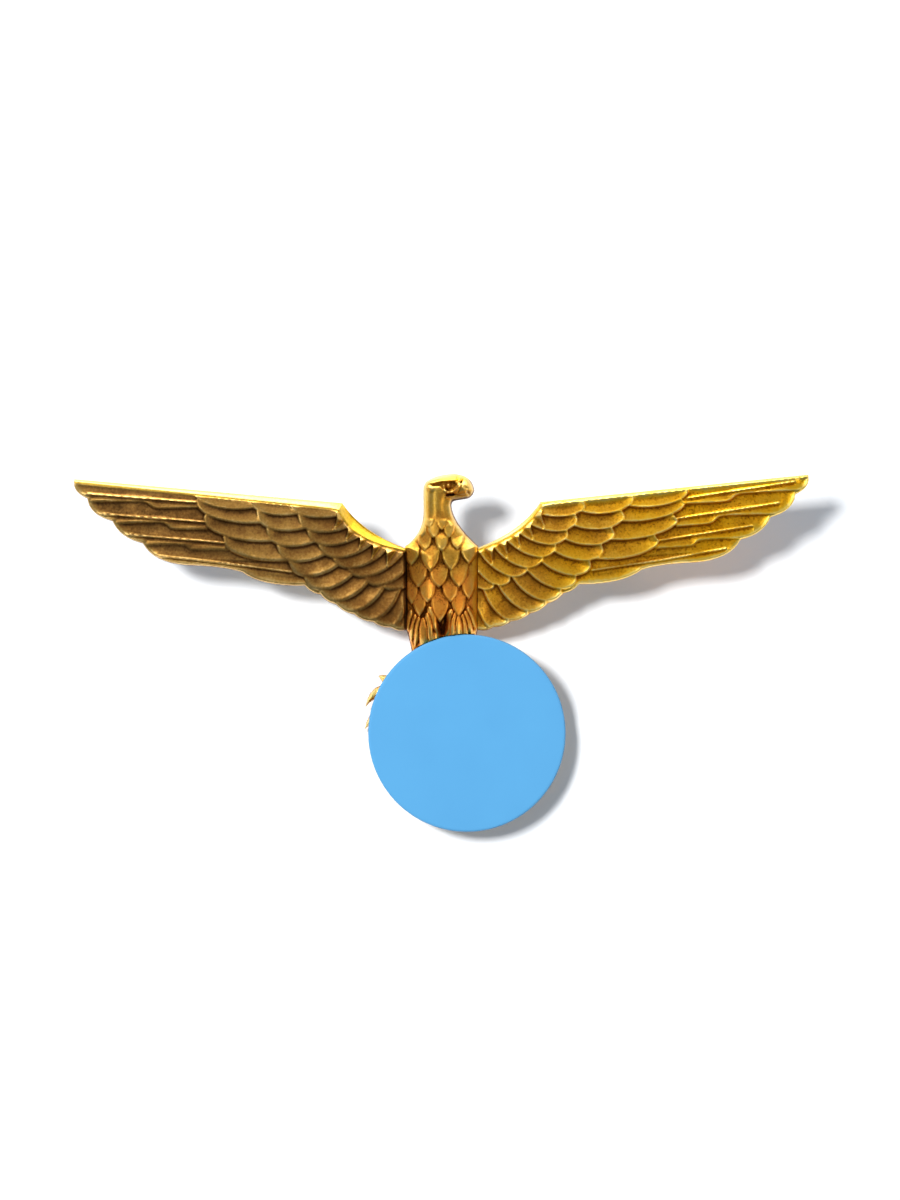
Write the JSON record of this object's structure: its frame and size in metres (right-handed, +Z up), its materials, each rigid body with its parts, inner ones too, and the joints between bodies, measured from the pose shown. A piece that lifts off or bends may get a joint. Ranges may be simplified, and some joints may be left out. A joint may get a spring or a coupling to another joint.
{
  "type": "cap badge",
  "caption": "Spread-wing eagle cap badge in antique brass, holding a plain blue enamel roundel, with screw posts, washers and knurled nuts behind.",
  "frame": {"origin": "on the centre line, at the middle of the rear face of the tablet that lies on the cap", "axes": "+X across the wings to the viewer's right, +Y out of the back towards the cap, +Z up to the head"},
  "size_m": [0.0658, 0.0097, 0.0319],
  "materials": {
    "antique_brass": "struck and lightly polished, with dark patina in the recesses",
    "fitting_brass": "turned and stamped, satin",
    "blue_enamel": "opaque vitreous enamel, flat and plain"
  },
  "bodies": {
    "badge": {"body": "antique_brass", "wing_left": "antique_brass", "wing_right": "antique_brass", "talon_left": "antique_brass", "talon_right": "antique_brass", "roundel_plate": "antique_brass", "roundel_enamel": "blue_enamel", "back_strap": "fitting_brass", "back_tablet": "fitting_brass", "post_left": "fitting_brass", "post_right": "fitting_brass", "rivet_left_body": "fitting_brass", "rivet_right_body": "fitting_brass", "rivet_left_wing_1": "fitting_brass", "rivet_right_wing_1": "fitting_brass", "rivet_left_wing_2": "fitting_brass", "rivet_right_wing_2": "fitting_brass", "rivet_talon_left": "fitting_brass", "rivet_talon_right": "fitting_brass", "rivet_tail": "fitting_brass"},
    "loose_washer_left": {"washer_left": "fitting_brass"},
    "loose_washer_right": {"washer_right": "fitting_brass"},
    "screw_nut_left": {"nut_left": "fitting_brass"},
    "screw_nut_right": {"nut_right": "fitting_brass"}
  },
  "joints": [
    {"name": "washer_left_slide", "type": "slide", "parent": "badge", "child": "loose_washer_left", "axis": [0, 1, 0], "range_m": [0, 0.0054]},
    {"name": "nut_left_spin", "type": "hinge", "parent": "loose_washer_left", "child": "screw_nut_left", "pos_m": [-0.0155, 0, 0.00354], "axis": [0, 1, 0], "range_deg": [0, 4320]},
    {"name": "washer_right_slide", "type": "slide", "parent": "badge", "child": "loose_washer_right", "axis": [0, 1, 0], "range_m": [0, 0.0054]},
    {"name": "nut_right_spin", "type": "hinge", "parent": "loose_washer_right", "child": "screw_nut_right", "pos_m": [0.0155, 0, 0.00354], "axis": [0, 1, 0], "range_deg": [0, 4320]}
  ],
  "couplings": [
    {"joint": "nut_left_spin", "follows": "washer_left_slide", "rad_per_m": 13963},
    {"joint": "nut_right_spin", "follows": "washer_right_slide", "rad_per_m": 13963}
  ]
}
